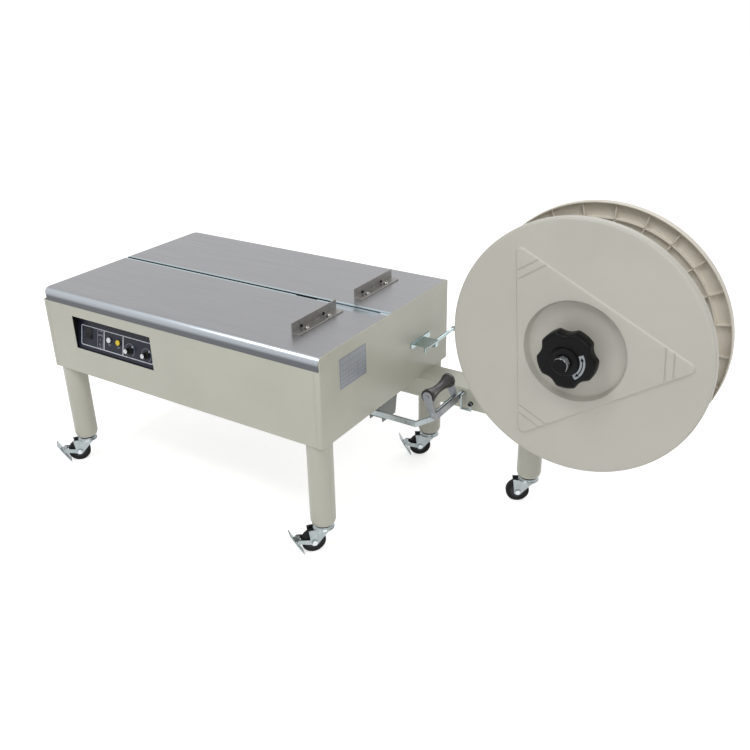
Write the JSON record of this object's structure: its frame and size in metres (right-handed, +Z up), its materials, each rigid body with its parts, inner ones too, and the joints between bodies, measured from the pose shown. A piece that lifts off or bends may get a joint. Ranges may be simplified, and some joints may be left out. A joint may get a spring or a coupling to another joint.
{
  "type": "semi-automatic box strapping machine",
  "caption": "Low box strapping table on braked casters with a split steel top, control recess and an outrigger strap reel with embossed flanges and hand knob.",
  "frame": {"origin": "bottom centre of the whole machine's bounding box, on the floor", "axes": "+X runs along the table towards the strap reel, +Y to the back, +Z up"},
  "size_m": [1.6964, 0.6428, 0.841],
  "materials": {
    "cream_paint": "satin",
    "stainless": "brushed",
    "zinc": "zinc plated",
    "steel": "turned",
    "cream_plastic": "satin",
    "black_plastic": "satin",
    "panel_black": "satin",
    "black_tread": "matte",
    "white_plastic": "gloss",
    "yellow_plastic": "gloss",
    "roller_plastic": "satin",
    "cast_grey": "as cast",
    "motor_paint": "satin",
    "core_steel": "varnished"
  },
  "bodies": {
    "root": {"base_tray": "cream_paint", "front_table_plate": "stainless", "rear_table_plate": "stainless", "strap_ramp": "stainless", "front_box_guide": "stainless", "rear_box_guide": "stainless", "left_end_cover": "cream_paint", "right_end_cover": "cream_paint", "front_cover": "cream_paint", "rear_cover": "cream_paint", "cable_gland": "black_plastic", "front_left_leg": "cream_paint", "front_right_leg": "cream_paint", "rear_left_leg": "cream_paint", "rear_right_leg": "cream_paint", "outrigger_leg": "cream_paint", "caster_stems": "zinc", "control_housing": "black_plastic", "control_panel": "panel_black", "outrigger_beam": "cream_paint", "reel_post": "cream_paint", "reel_spindle": "steel", "guide_bar": "zinc", "strap_hook": "zinc", "side_guide_bracket": "zinc", "side_guide_rod": "zinc", "strap_inlet": "zinc", "sealing_head": "cast_grey", "drive_motor": "motor_paint", "gear_reducer": "cast_grey", "transformer": "core_steel", "control_box": "cream_paint"},
    "front_left_fork": {"front_left_fork": "zinc"},
    "front_left_wheel": {"front_left_wheel": "black_tread"},
    "front_left_brake": {"front_left_brake": "zinc"},
    "front_right_fork": {"front_right_fork": "zinc"},
    "front_right_wheel": {"front_right_wheel": "black_tread"},
    "front_right_brake": {"front_right_brake": "zinc"},
    "rear_left_fork": {"rear_left_fork": "zinc"},
    "rear_left_wheel": {"rear_left_wheel": "black_tread"},
    "rear_left_brake": {"rear_left_brake": "zinc"},
    "rear_right_fork": {"rear_right_fork": "zinc"},
    "rear_right_wheel": {"rear_right_wheel": "black_tread"},
    "rear_right_brake": {"rear_right_brake": "zinc"},
    "outrigger_fork": {"outrigger_fork": "zinc"},
    "outrigger_wheel": {"outrigger_wheel": "black_tread"},
    "reel": {"reel_sleeve": "steel", "reel_drum": "cream_plastic", "rear_flange": "cream_plastic"},
    "front_flange": {"front_flange": "cream_plastic"},
    "hand_knob": {"hand_knob": "black_plastic"},
    "roller_arm": {"roller_arm": "zinc"},
    "guide_roller": {"guide_roller": "roller_plastic"},
    "power_switch": {"power_switch": "black_plastic"},
    "white_button": {"white_button": "white_plastic"},
    "yellow_button": {"yellow_button": "yellow_plastic"},
    "left_dial": {"left_dial": "black_plastic"},
    "right_dial": {"right_dial": "black_plastic"},
    "slide_plate": {"slide_plate": "steel"},
    "cam_shaft": {"cam_shaft": "steel"}
  },
  "joints": [
    {"name": "front_left_swivel", "type": "hinge", "parent": "root", "child": "front_left_fork", "pos_m": [-0.76981, -0.24509, 0.071], "axis": [0, 0, 1], "continuous": true},
    {"name": "front_left_roll", "type": "hinge", "parent": "front_left_fork", "child": "front_left_wheel", "pos_m": [-0.7868, -0.26607, 0.03], "axis": [0.7771, -0.6293, 0], "continuous": true},
    {"name": "front_left_brake_press", "type": "hinge", "parent": "front_left_fork", "child": "front_left_brake", "pos_m": [-0.81009, -0.29483, 0.039], "axis": [0.7771, -0.6293, 0], "range_deg": [0, 9]},
    {"name": "front_right_swivel", "type": "hinge", "parent": "root", "child": "front_right_fork", "pos_m": [0.05819, -0.24509, 0.071], "axis": [0, 0, 1], "continuous": true},
    {"name": "front_right_roll", "type": "hinge", "parent": "front_right_fork", "child": "front_right_wheel", "pos_m": [0.0412, -0.26607, 0.03], "axis": [0.7771, -0.6293, 0], "continuous": true},
    {"name": "front_right_brake_press", "type": "hinge", "parent": "front_right_fork", "child": "front_right_brake", "pos_m": [0.01791, -0.29483, 0.039], "axis": [0.7771, -0.6293, 0], "range_deg": [0, 9]},
    {"name": "rear_left_swivel", "type": "hinge", "parent": "root", "child": "rear_left_fork", "pos_m": [-0.76981, 0.27391, 0.071], "axis": [0, 0, 1], "continuous": true},
    {"name": "rear_left_roll", "type": "hinge", "parent": "rear_left_fork", "child": "rear_left_wheel", "pos_m": [-0.79166, 0.25804, 0.03], "axis": [0.5878, -0.809, 0], "continuous": true},
    {"name": "rear_left_brake_press", "type": "hinge", "parent": "rear_left_fork", "child": "rear_left_brake", "pos_m": [-0.82159, 0.23629, 0.039], "axis": [0.5878, -0.809, 0], "range_deg": [0, 9]},
    {"name": "rear_right_swivel", "type": "hinge", "parent": "root", "child": "rear_right_fork", "pos_m": [0.05819, 0.27391, 0.071], "axis": [0, 0, 1], "continuous": true},
    {"name": "rear_right_roll", "type": "hinge", "parent": "rear_right_fork", "child": "rear_right_wheel", "pos_m": [0.03634, 0.25804, 0.03], "axis": [0.5878, -0.809, 0], "continuous": true},
    {"name": "rear_right_brake_press", "type": "hinge", "parent": "rear_right_fork", "child": "rear_right_brake", "pos_m": [0.00641, 0.23629, 0.039], "axis": [0.5878, -0.809, 0], "range_deg": [0, 9]},
    {"name": "outrigger_swivel", "type": "hinge", "parent": "root", "child": "outrigger_fork", "pos_m": [0.39419, 0.19941, 0.071], "axis": [0, 0, 1], "continuous": true},
    {"name": "outrigger_roll", "type": "hinge", "parent": "outrigger_fork", "child": "outrigger_wheel", "pos_m": [0.3708, 0.18591, 0.03], "axis": [0.5, -0.866, 0], "continuous": true},
    {"name": "reel_spin", "type": "hinge", "parent": "root", "child": "reel", "pos_m": [0.57319, 0.15641, 0.566], "axis": [0, 1, 0], "continuous": true},
    {"name": "flange_release", "type": "slide", "parent": "reel", "child": "front_flange", "axis": [0, -1, 0], "range_m": [0, 0.012]},
    {"name": "knob_turn", "type": "hinge", "parent": "front_flange", "child": "hand_knob", "pos_m": [0.57319, -0.04389, 0.566], "axis": [0, -1, 0], "range_deg": [0, 1080]},
    {"name": "roller_arm_tilt", "type": "hinge", "parent": "root", "child": "roller_arm", "pos_m": [0.22219, -0.00559, 0.302], "axis": [0, -1, 0], "range_deg": [0, 25], "stiffness_Nm_per_rad": 0.5, "springref_deg": -22.92},
    {"name": "guide_roller_spin", "type": "hinge", "parent": "roller_arm", "child": "guide_roller", "pos_m": [0.20719, -0.00559, 0.344], "axis": [0, 1, 0], "continuous": true},
    {"name": "power_switch_rock", "type": "hinge", "parent": "root", "child": "power_switch", "pos_m": [-0.66081, -0.26309, 0.419], "axis": [1, 0, 0], "range_deg": [0, 14]},
    {"name": "white_button_press", "type": "slide", "parent": "root", "child": "white_button", "axis": [0, 0.9799, -0.1994], "range_m": [0, 0.0025], "stiffness_N_per_m": 600, "springref_m": -0.002},
    {"name": "yellow_button_press", "type": "slide", "parent": "root", "child": "yellow_button", "axis": [0, 0.9799, -0.1994], "range_m": [0, 0.0025], "stiffness_N_per_m": 600, "springref_m": -0.002},
    {"name": "left_dial_turn", "type": "hinge", "parent": "root", "child": "left_dial", "pos_m": [-0.51081, -0.26628, 0.40332], "axis": [0, -0.9799, 0.1994], "range_deg": [-140, 140]},
    {"name": "right_dial_turn", "type": "hinge", "parent": "root", "child": "right_dial", "pos_m": [-0.45181, -0.26628, 0.40332], "axis": [0, -0.9799, 0.1994], "range_deg": [-140, 140]},
    {"name": "slide_plate_travel", "type": "slide", "parent": "root", "child": "slide_plate", "axis": [0, 1, 0], "range_m": [0, 0.018]},
    {"name": "cam_shaft_spin", "type": "hinge", "parent": "root", "child": "cam_shaft", "pos_m": [-0.14981, 0.01641, 0.393], "axis": [1, 0, 0], "continuous": true}
  ],
  "couplings": [
    {"joint": "flange_release", "follows": "knob_turn", "m_per_rad": 0.00063662}
  ]
}
